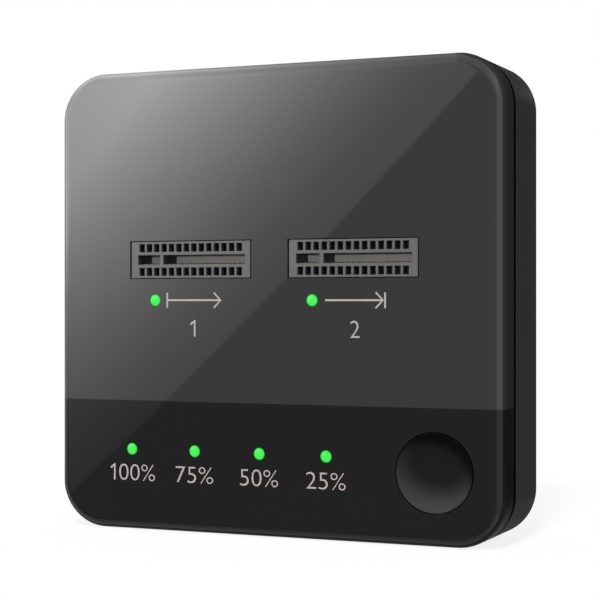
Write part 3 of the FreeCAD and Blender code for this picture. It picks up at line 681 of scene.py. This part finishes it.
for label in ("source", "target"):
    low, high, middle = corners(label + "_socket_housing")
    rule = Rule(label + "_socket", width=high.x - low.x, height=high.z - low.z,
                depth=high.y - low.y, window_width=WINDOW_WIDTH, window_height=WINDOW_HEIGHT,
                window_depth=WINDOW_DEPTH, window_pitch=WINDOW_PITCH,
                window_count=WINDOW_COUNT, window_offset=WINDOW_OFFSET)
    size = rule.size
    body = rule.block(size["width"], size["depth"], size["height"],
                      rule.point(0.0, size["depth"] * 0.5))
    window = rule.block(size["window_width"], size["window_depth"] * 2, size["window_height"])
    first = size["window_pitch"] * (size["window_count"] - 1) * -0.5
    rows = [rule.row(size["window_count"], size["window_pitch"],
                     rule.point(first, 0.0, size["window_offset"] * side)) for side in (-1, 1)]
    windows = rule.node("GeometryNodeRealizeInstances", None,
                        {0: rule.copies(rule.joined(*rows), window)})
    slots = [rule.block(width, 2 * SLOT_DEPTH, SLOT_HEIGHT,
                        rule.point(left + width / 2 - size["width"] * 0.5))
             for left, width in (SHORT_SLOT, LONG_SLOT)]
    housing = rule.moved(rule.less(body, windows, *slots), (middle.x, low.y, middle.z))
    piece(label + "_socket", eased(rule.mesh(housing, nylon), 0.07 * MM, 1),
          [label + "_socket_housing"], nylon)

    # A pale insulator plate closes each slot at its floor.
    plates = Rule(label + "_insulators", height=SLOT_HEIGHT - FLOOR_PLAY, sheet=FLOOR_SHEET)
    size = plates.size
    sheets = [plates.block(width - FLOOR_PLAY, size["sheet"], size["height"],
                           plates.point(low.x + left + width / 2))
              for left, width in (SHORT_SLOT, LONG_SLOT)]
    plate_place = (0.0, low.y + SLOT_DEPTH - FLOOR_SHEET, middle.z)
    piece(label + "_insulators",
          plates.mesh(plates.moved(plates.joined(*sheets), plate_place), lightened_insulator),
          (), lightened_insulator)

    # Each contact is a spring: it leaves the floor of its slot, bows up and returns at its tip.
    reach = SLOT_DEPTH - CONTACTS_FROM - FLOOR_SHEET
    strips = []
    for index, ((left, width), count, pitch) in enumerate(CONTACTS):
        rule = Rule("%s_contacts_%d" % (label, index), count=count, pitch=pitch,
                    width=0.5 * MM, sheet=0.15 * MM, bow=0.2 * MM)
        size = rule.size
        path = rule.node("GeometryNodeCurveQuadraticBezier", None, {
            "Resolution": 10, "Start": rule.point(0.0, reach),
            "Middle": rule.point(0.0, reach * 0.3, size["bow"] * 2),
            "End": rule.point()})
        profile = rule.node("GeometryNodeCurvePrimitiveQuadrilateral", None,
                            {"Width": size["width"], "Height": size["sheet"]})
        spring = rule.node("GeometryNodeCurveToMesh", None,
                           {"Curve": path, "Profile Curve": profile, "Fill Caps": True})
        contact_row = rule.row(size["count"], size["pitch"],
                               rule.point(size["pitch"] * (size["count"] - 1) * -0.5))
        slot_middle = low.x + left + width / 2
        place = (slot_middle, low.y + CONTACTS_FROM, middle.z - SLOT_HEIGHT / 2 + CONTACT_LIFT)
        strips.append(rule.mesh(rule.moved(rule.copies(contact_row, spring), place), gold))
    piece(label + "_contacts", merged(label + "_contacts", *strips),
          [label + "_socket_contacts"], gold)


# ---------------------------------------------------------------- front shell and control band
# The face is two glossy mouldings that meet in a straight line: a dark grey shell above and a
# black control band below. Their faces are polished in the mould; the insides are plain.

PRINT_DEPTH = 0.03 * MM
face_y = cad_box[0][1]


def polished(name, colour, level):
    """Mould polished plastic: an even colour under a clear skin, with the faintest ripple."""
    finish = Finish(name)
    cloud = finish.noise(finish.place, 30 * MM, 2.0)
    ripple = finish.noise(finish.place, 9 * MM, 1.0)
    wear = finish.noise(finish.place, 3 * MM, 4.0)
    return finish.surface({
        "Base Color": finish.mix(cloud, shade(colour, 0.97), shade(colour, 1.03)),
        "Roughness": 0.02 + finish.between(wear, 0.45, 0.75) * 0.015,
        "Specular IOR Level": level,
        "Normal": finish.bump(ripple, 0.0006 * MM),
    })


def printed_face(mesh):
    """Set the front of a moulding back by the thickness of the print that lies on it."""
    for vertex in mesh.vertices:
        vertex.co.y = max(vertex.co.y, face_y + PRINT_DEPTH)
    return shaded_by_flats(mesh)


shell_gloss = polished("polished_dark_grey", paint(51, 51, 51), 0.5)
band_gloss = polished("polished_black", paint(28, 28, 28), 0.25)
piece("front_cover", printed_face(eased(cad_form("front_shell"), 0.04 * MM)),
      ["front_shell"], shell_gloss)
piece("control_band", printed_face(eased(cad_form("control_fascia"), 0.04 * MM)),
      ["control_fascia"], band_gloss)


# ---------------------------------------------------------------- lamps
# Six small indicator lamps. Each is a green diode on the board and a clear rod that carries
# its light to a low dome in the face.

LAMPS = ["source", "target"] + ["progress_%d" % k for k in range(1, 5)]
LENS_RISE = 0.25 * MM

lens = Finish("lit_lens")
glow = lens.between(lens.along(1), face_y + LENS_RISE * 1.02, face_y + LENS_RISE * 0.55)
green = lens.mix(glow, paint(30, 160, 46), paint(68, 238, 84))
lens_finish = lens.surface({
    "Base Color": lens.mix(glow, paint(12, 50, 16), paint(16, 70, 22)),
    "Roughness": 0.3,
    "Specular IOR Level": 0.15,
    "Emission Color": green,
    "Emission Strength": 1.0,
})
diode_finish = moulded("diode_package", paint(196, 214, 190), 0.35, grain=0.1 * MM)

for label in LAMPS:
    low, high, middle = corners(label + "_light_pipe")
    radius = (high.x - low.x) / 2
    bend = (radius ** 2 + LENS_RISE ** 2) / (2 * LENS_RISE)
    spread = math.degrees(math.asin(radius / bend))
    profile = arc((0, low.y + bend), bend, -90, -90 + spread, 8)
    profile += [(radius, high.y), (0, high.y)]
    piece(label + "_lens", turned(profile, Vector((middle.x, 0, middle.z))),
          [label + "_light_pipe"], lens_finish)
    finish_node(diode_finish, label + "_led")


# ---------------------------------------------------------------- printed marks
# Pad printed in warm grey ink on the face: a plain percent scale under the progress lamps,
# and beside the status lamps an arrow and a number that tell the two sockets apart.

INK_HEIGHT = 4.6 * MM
SCALE_LEVEL = 16.3 * MM
STROKE = 0.55 * MM
FLAG = 1.25 * MM
STROKES_THINNED = 0.012

ink = moulded("warm_grey_ink", paint(180, 170, 165), 0.55, grain=0.1 * MM, depth=0.001 * MM,
              drift=0.03)


def on_face(mesh, x, z):
    """Move a flat mark into the print's thickness on the face."""
    mesh.transform(Matrix.Translation((x, face_y + PRINT_DEPTH / 3, z)))
    return mesh


def lettered(words, width, middle):
    """Characters of the built-in face, fitted to a width and a height, printed on the face."""
    curve = bpy.data.curves.new(words, "FONT")
    curve.body = words
    curve.offset = -STROKES_THINNED
    mesh = plain_mesh(scene_object(words, curve))
    xs = [vertex.co.x for vertex in mesh.vertices]
    zs = [vertex.co.y for vertex in mesh.vertices]
    scale_x = width / (max(xs) - min(xs))
    scale_z = INK_HEIGHT / (max(zs) - min(zs))
    mesh.transform(Matrix.Translation((-(max(xs) + min(xs)) / 2, -(max(zs) + min(zs)) / 2, 0)))
    mesh.transform(Matrix.Diagonal((scale_x, scale_z, 1, 1)))
    mesh.transform(Matrix.Rotation(math.radians(90), 4, "X"))
    return on_face(mesh, *middle)


def figure_one(x, z):
    """The built-in face has a 1 without a flag, so this one is drawn."""
    top = INK_HEIGHT / 2
    stem = [(0, -top), (0, top)]
    flag = [(-FLAG, top - FLAG), (0, top - STROKE / 2)]
    return on_face(stroked([stem, flag], STROKE), x, z)


# The words of each figure, their width, and how far they stand right of the lamp's middle.
SCALE = (("00%", 11.5 * MM, 1.67 * MM), ("75%", 11.7 * MM, 0.0),
         ("50%", 11.5 * MM, 0.0), ("25%", 11.5 * MM, 0.0))
figures = []
for index, (words, width, shift) in enumerate(SCALE, start=1):
    lamp_x = corners("progress_%d_light_pipe" % index)[2].x
    figures.append(lettered(words, width, (lamp_x + shift, SCALE_LEVEL)))
ONE_LEFT_OF_LAMP = 5.54 * MM
first_lamp_x = corners("progress_1_light_pipe")[2].x
figures.append(figure_one(first_lamp_x - ONE_LEFT_OF_LAMP, SCALE_LEVEL))
piece("scale_figures", merged("scale_figures", *figures), (), ink)

ARROW_REACH = 8.6 * MM
ARROW_HALF = 2.1 * MM
ARROW_RIGHT_OF_LAMP = 12.5 * MM
NUMBER_BELOW_LAMP = 7.8 * MM
NUMBER_WIDTH = 2.7 * MM
for label, stop in (("source", -ARROW_REACH), ("target", ARROW_REACH)):
    middle = corners(label + "_light_pipe")[2]
    tip = ARROW_REACH - STROKE
    arrow = stroked([[(-ARROW_REACH, 0), (tip, 0)],
                     [(tip - ARROW_HALF, ARROW_HALF), (tip, 0), (tip - ARROW_HALF, -ARROW_HALF)],
                     [(stop, -ARROW_HALF), (stop, ARROW_HALF)]], STROKE)
    place = (middle.x + ARROW_RIGHT_OF_LAMP, middle.z - NUMBER_BELOW_LAMP)
    figure = figure_one(*place) if label == "source" else lettered("2", NUMBER_WIDTH, place)
    marks = merged(label + "_marks", on_face(arrow, place[0], middle.z), figure)
    piece(label + "_marks", marks, (), ink)


# ---------------------------------------------------------------- start button
# A round key of satin black plastic with a smooth dish for the thumb. Two tabs keep it behind
# the band, and its stem rests on the plunger of a small switch on the board.

DISH_DEPTH = 1.9 * MM
KEY_RIM = 0.25 * MM
KEY_EDGE = 0.1 * MM
KEY_THICKNESS = 4.2 * MM
KEY_SIDES = 96
STEM_HALF = 2.0 * MM
TAB_HALF = 2.5 * MM
TAB_THICKNESS = 1.2 * MM
TAB_SET_BACK = 2.3 * MM

low, high, middle = corners("start_button")
key_radius = (high.x - low.x) / 2
dish_radius = key_radius - KEY_RIM
# The dish is nearly flat in its middle and steep at its rim.
profile = []
for k in range(25):
    share = k / 24
    profile.append((dish_radius * share, face_y + DISH_DEPTH * (1 - share ** 4)))
profile += arc((key_radius - KEY_EDGE, face_y + KEY_EDGE), KEY_EDGE, -90, 0, 4)
profile += [(key_radius, face_y + KEY_THICKNESS), (0, face_y + KEY_THICKNESS)]
cap = turned(profile, Vector((middle.x, 0, middle.z)), sides=KEY_SIDES)


def bar(low_corner, high_corner):
    """A plain block between two corners."""
    form = bmesh.new()
    bmesh.ops.create_cube(form, size=1)
    mesh = bpy.data.meshes.new("bar")
    form.to_mesh(mesh)
    form.free()
    low_corner, high_corner = Vector(low_corner), Vector(high_corner)
    mesh.transform(Matrix.Translation((low_corner + high_corner) / 2)
                   @ Matrix.Diagonal((*(high_corner - low_corner), 1)))
    return mesh


# The dish carries painted light and shade: it is painted paler towards its lower rim, where light
# from above would fall, and black under its upper rim, as painted shadow.
key = Finish("key_plastic")
speck = key.noise(key.place, 0.3 * MM, 3.0)
cloud = key.noise(key.place, 5 * MM, 2.0)


def away_from(right, up, narrow=1.0, tall=1.0):
    """The distance from a place in the dish, given in shares of its radius."""
    across = (key.along(0) - (middle.x + dish_radius * right)) * narrow
    along = (key.along(2) - (middle.z + dish_radius * up)) * tall
    return key.maths("SQRT", across * across + along * along) + (cloud - 0.5) * MM


painted_dish_light = key.between(away_from(0.15, 0.35, 0.85, 1.1), dish_radius * 0.55, dish_radius * 1.45)
painted_rim_shadow = key.between(away_from(-0.2, -0.4), dish_radius, dish_radius * 1.32)
painted_dish_shading = key.mix(painted_dish_light, paint(28, 28, 28), paint(62, 62, 62))
key_plastic = key.surface({
    "Base Color": key.mix(painted_rim_shadow, painted_dish_shading, paint(11, 11, 11)),
    "Roughness": 0.4 + speck * 0.06,
    "Specular IOR Level": 0.02,
    "Normal": key.bump(speck, 0.003 * MM),
})
tab_front = face_y + TAB_SET_BACK
tabs = bar((middle.x - TAB_HALF, tab_front, low.z),
           (middle.x + TAB_HALF, tab_front + TAB_THICKNESS, high.z))
stem = bar((middle.x - STEM_HALF, face_y + KEY_THICKNESS, middle.z - STEM_HALF),
           (middle.x + STEM_HALF, high.y, middle.z + STEM_HALF))
piece("start_key", merged("start_key", cap, tabs, stem),
      ["start_button"], key_plastic, "button")
finish_node(connector_black, "tact_switch_body")
finish_node(switch_plastic, "tact_switch_plunger")


# ---------------------------------------------------------------- case screws
# Four zinc plated pan head screws with a cross recess and a rolled thread. They come in from
# the back, through the wells of the rear shell, into the bosses of the front mouldings.

zinc = metal("zinc_plate", paint(168, 170, 174), 0.32, scratch=0.25 * MM)
low, high, middle = corners("case_screws")
HEAD_RADIUS = 2.5 * MM
THREAD_PITCH = 0.48 * MM
RIDGE_HEIGHT = 0.25 * MM
THREAD_START = 0.4 * MM
rule = Rule("case_screws", spacing_x=high.x - low.x - 2 * HEAD_RADIUS,
            spacing_z=high.z - low.z - 2 * HEAD_RADIUS, length=high.y - low.y,
            head_height=1.9 * MM, head_radius=HEAD_RADIUS, shank=1.45 * MM,
            recess=0.75 * MM, recess_depth=1.1 * MM, turns=26)
size = rule.size
head = rule.node("GeometryNodeMeshCylinder", None,
                 {"Vertices": 40, "Radius": size["head_radius"], "Depth": size["head_height"]})
slots = [rule.block(size["recess"], size["recess"] * 4.2, size["recess_depth"] * 2),
         rule.block(size["recess"] * 4.2, size["recess"], size["recess_depth"] * 2)]
cross = rule.moved(rule.joined(*slots), rule.point(0.0, 0.0, size["head_height"] * 0.5))
head = rule.moved(rule.less(head, cross), rule.point(0.0, 0.0, size["head_height"] * -0.5))
core_length = size["length"] - size["head_height"]
core = rule.node("GeometryNodeMeshCylinder", None,
                 {"Vertices": 20, "Radius": size["shank"] * 0.8, "Depth": core_length})
core = rule.moved(core, rule.point(0.0, 0.0, core_length * -0.5 - size["head_height"]))
ridge = rule.node("GeometryNodeMeshCone", None,
                  {"Vertices": 20, "Radius Top": size["shank"] * 0.8,
                   "Radius Bottom": size["shank"] * 0.98, "Depth": RIDGE_HEIGHT})
ridges = rule.copies(rule.node("GeometryNodeMeshLine", {"mode": "OFFSET"}, {
    "Count": size["turns"], "Offset": (0.0, 0.0, -THREAD_PITCH),
    "Start Location": rule.point(0.0, 0.0, size["head_height"] * -1 - THREAD_START)}), ridge)
screw = rule.joined(head, core, ridges)
upright = rule.node("GeometryNodeTransform", None,
                    {"Geometry": screw, "Rotation": (math.radians(-90), 0.0, 0.0)})
posts = rule.node("GeometryNodeMeshGrid", None,
                  {"Size X": size["spacing_x"], "Size Y": size["spacing_z"],
                   "Vertices X": 2, "Vertices Y": 2})
posts = rule.node("GeometryNodeTransform", None,
                  {"Geometry": posts, "Rotation": (math.radians(90), 0.0, 0.0)})
screws = rule.moved(rule.copies(posts, upright), (middle.x, high.y, middle.z))
piece("case_screw_set", eased(rule.mesh(screws, zinc), 0.12 * MM),
      ["case_screws"], zinc)


# ---------------------------------------------------------------- rubber feet
# Four round pads of black rubber, stuck to the back, each with a rounded edge and a
# shallow cup in its middle.

rubber = moulded("foot_rubber", paint(34, 34, 35), 0.85, grain=0.3 * MM, depth=0.02 * MM)
low, high, middle = corners("rubber_feet")
FOOT_RADIUS = 6.0 * MM
FOOT_EDGE = 0.5 * MM
CUP_DEPTH = 0.3 * MM
pads = []
for x in (low.x + FOOT_RADIUS, high.x - FOOT_RADIUS):
    for z in (low.z + FOOT_RADIUS, high.z - FOOT_RADIUS):
        profile = [(0, low.y), (FOOT_RADIUS, low.y)]
        profile += arc((FOOT_RADIUS - FOOT_EDGE, high.y - FOOT_EDGE), FOOT_EDGE, 0, 90, 6)
        profile += [(FOOT_RADIUS * 0.72, high.y), (FOOT_RADIUS * 0.66, high.y - CUP_DEPTH),
                    (0, high.y - CUP_DEPTH)]
        pads.append(turned(profile, Vector((x, 0, z)), sides=64))
piece("foot_pads", merged("foot_pads", *pads), ["rubber_feet"], rubber)


# ---------------------------------------------------------------- studio
# A pale floor, a large soft lamp high in front, a small fill, and a bowed sheet of light whose
# slanting edge and slow fall-off mirror in the polished face. Only reflections see the sheet.

def stage_sheet(name, rows, material):
    """A surface through rows of points, as part of the studio."""
    form = bmesh.new()
    grid = [[form.verts.new(point) for point in row] for row in rows]
    for row, following in zip(grid, grid[1:]):
        for k in range(len(row) - 1):
            form.faces.new((row[k], row[k + 1], following[k + 1], following[k]))
    mesh = bpy.data.meshes.new(name)
    form.to_mesh(mesh)
    form.free()
    mesh.materials.append(material)
    obj = scene_object(name, mesh)
    return obj


def background_seen(tree):
    """1 for the rays that see the white background: straight, mirrored or through glass."""
    rays = [tree.node("ShaderNodeLightPath", output="Is %s Ray" % kind)
            for kind in ("Camera", "Glossy", "Transmission")]
    return tree.maths("MAXIMUM", rays[0], tree.maths("MAXIMUM", rays[1], rays[2]))


floor_tree = Finish("floor_paper")
paper = floor_tree.node("ShaderNodeBsdfDiffuse", None, {"Color": (0.95, 0.95, 0.95, 1)})
glare = floor_tree.node("ShaderNodeEmission", None, {"Color": (1, 1, 1, 1), "Strength": 1.06})
floor_tree.node("ShaderNodeOutputMaterial", None, {"Surface": floor_tree.node(
    "ShaderNodeMixShader", None, {0: background_seen(floor_tree) * 0.8, 1: paper, 2: glare})})
FLOOR_HALF = 30.0
FLOOR_LEVEL = -0.1 * MM
floor = stage_sheet("floor", [[(x, y, FLOOR_LEVEL) for x in (-FLOOR_HALF, FLOOR_HALF)]
                              for y in (-FLOOR_HALF, FLOOR_HALF)], floor_tree.material)
floor.visible_diffuse = False
floor.visible_glossy = False

camera = bpy.data.objects.new("camera", bpy.data.cameras.new("camera"))
camera.location = (0.1869, -0.4308, 0.06507)
camera.rotation_euler = (math.radians(90), 0, math.radians(23.25))
camera.data.lens = 99.68
bpy.context.collection.objects.link(camera)
bpy.context.scene.camera = camera
bpy.context.scene.view_settings.view_transform = "Standard"

# The sheet is an arch around the middle of the face, from below it to behind it. Its pattern is
# worked out in the sizes that show on the face, which the mirror image of the camera makes
# smaller by one factor.
ARCH_RADIUS = 1.0
ARCH_START, ARCH_SWEEP, ARCH_STEPS = -80, 230, 60
SHEET_LEFT, SHEET_RIGHT = -2.6, 1.3
EDGE_SLANT = math.radians(43.2)
EDGE_SHIFT = 0.75 * MM
EVEN_LEFT_OF, EVEN_ABOVE, EVEN_PAST = -62 * MM, 64 * MM, 66 * MM
face_middle = Vector((0, face_y, (cad_box[0][2] + cad_box[1][2]) / 2))
camera_back = face_y - camera.location.y
shrink = camera_back / (camera_back + ARCH_RADIUS)


def glowing(finish, strength):
    """End a material in plain white light that no lamp sampling looks for."""
    light = finish.node("ShaderNodeEmission", None,
                        {"Color": (1, 1, 1, 1), "Strength": strength})
    finish.node("ShaderNodeOutputMaterial", None, {"Surface": light})
    finish.material.cycles.emission_sampling = "NONE"


sheet = Finish("light_sheet")
on_face_x = (sheet.along(0) - camera.location.x) * shrink + camera.location.x
on_face_z = (sheet.along(2) - face_middle.z) * shrink
held_x = sheet.maths("MAXIMUM", on_face_x, EVEN_LEFT_OF)
held_z = sheet.maths("MINIMUM", on_face_z, EVEN_ABOVE)
past_edge = held_x * -math.sin(EDGE_SLANT) + held_z * math.cos(EDGE_SLANT) - EDGE_SHIFT
past_edge = sheet.maths("MINIMUM", past_edge, EVEN_PAST)
beside = held_x * math.cos(EDGE_SLANT) + held_z * math.sin(EDGE_SLANT)

# The light is faint along the slanting edge and grows with the square of the way from it. It
# fades again past the left end and the top of the face, where the rounded edges mirror it.
squared = past_edge * past_edge
strength = (0.475 + past_edge * 10.7 + squared * 1333
            + beside * (1.85 - past_edge * 180 + squared * 14107))
past_left = sheet.between(on_face_x, -0.2, -0.62)
past_top = sheet.between(on_face_z, EVEN_ABOVE, 0.29)
behind = sheet.between(sheet.along(1), 0.0, 0.7)
strength = strength * (1 - past_left * 0.37 - past_top * 0.3)
overhead = sheet.between(on_face_z, 0.07, 0.2) * 0.5
below = sheet.between(on_face_z, -0.2, -0.26) * 0.6
to_right = sheet.between(sheet.along(0), 0.3, 1.3) * 0.93
lit = 0.24 + (past_edge > 0) * strength + past_left * 0.5 + overhead + below + to_right
glowing(sheet, lit * (1 - behind * 0.8))

rows = []
for k in range(ARCH_STEPS + 1):
    turn = math.radians(ARCH_START + ARCH_SWEEP * k / ARCH_STEPS)
    y = face_middle.y - ARCH_RADIUS * math.cos(turn)
    z = face_middle.z + ARCH_RADIUS * math.sin(turn)
    rows.append([(SHEET_LEFT, face_middle.y, face_middle.z), (SHEET_LEFT, y, z),
                 (SHEET_RIGHT, y, z)])
cards = [stage_sheet("light_sheet", rows, sheet.material)]

# Dark cards behind the right side, and under the case, keep the white background out of the
# gloss there. They brighten below the floor and towards their far end.
card = Finish("dark_card")
card_glow = (card.between(card.along(2), 0.01, -0.03) * 0.15
             + card.between(card.along(0), 0.35, 1.2) * 0.8 + 0.02)
glowing(card, card_glow)
CARD_Y = 0.05
CARD_LOW, CARD_HIGH = -0.6, 1.6
card_left = cad_box[1][0] + 0.002
for name, levels, start, end in (
        ("side_card", (CARD_LOW, CARD_HIGH), (card_left, CARD_Y), (2.0, -0.3)),
        ("card_above", (cad_box[1][2] + 0.003, CARD_HIGH), (0.03, CARD_Y), (card_left, CARD_Y)),
        ("card_below", (CARD_LOW, 0.0), (-0.3, CARD_Y), (card_left, CARD_Y))):
    cards.append(stage_sheet(name, [[(*start, z), (*end, z)] for z in levels], card.material))
for sheet_object in cards:
    sheet_object.visible_camera = False
    sheet_object.visible_diffuse = False
    sheet_object.visible_transmission = False
    sheet_object.visible_shadow = False


def sun(name, elevation, azimuth, strength, spread):
    """A distant soft lamp. Azimuth is from the front of the object towards its right."""
    lamp = bpy.data.lights.new(name, "SUN")
    lamp.energy = strength
    lamp.angle = math.radians(spread)
    obj = scene_object(name, lamp)
    obj.rotation_euler = (math.radians(90 - elevation), 0, math.radians(azimuth))
    obj.visible_glossy = False


sun("key", 45, 10, 2.2, 15)
sun("fill", 2, 12, 0.88, 4)

world = bpy.data.worlds.new("studio")
world.use_nodes = True
bpy.context.scene.world = world
world.cycles.sampling_method = "NONE"
sky = Tree(world.node_tree)
world.node_tree.nodes.clear()
towards = sky.node("ShaderNodeTexCoord", output="Generated")
right, up = [sky.node("ShaderNodeSeparateXYZ", None, {0: towards}, output=axis) for axis in (0, 2)]
ambient = (0.09 + sky.between(up, -0.2, 0.6) * 0.25 + sky.between(up, -0.2, -0.8) * 0.25
           + sky.between(up, -0.05, -0.5) * sky.between(right, 0.1, 0.8) * 0.3)
level = sky.maths("MAXIMUM", background_seen(sky), ambient)
sky.node("ShaderNodeOutputWorld", None, {"Surface": sky.node(
    "ShaderNodeBackground", None, {"Color": (1, 1, 1, 1), "Strength": level})})
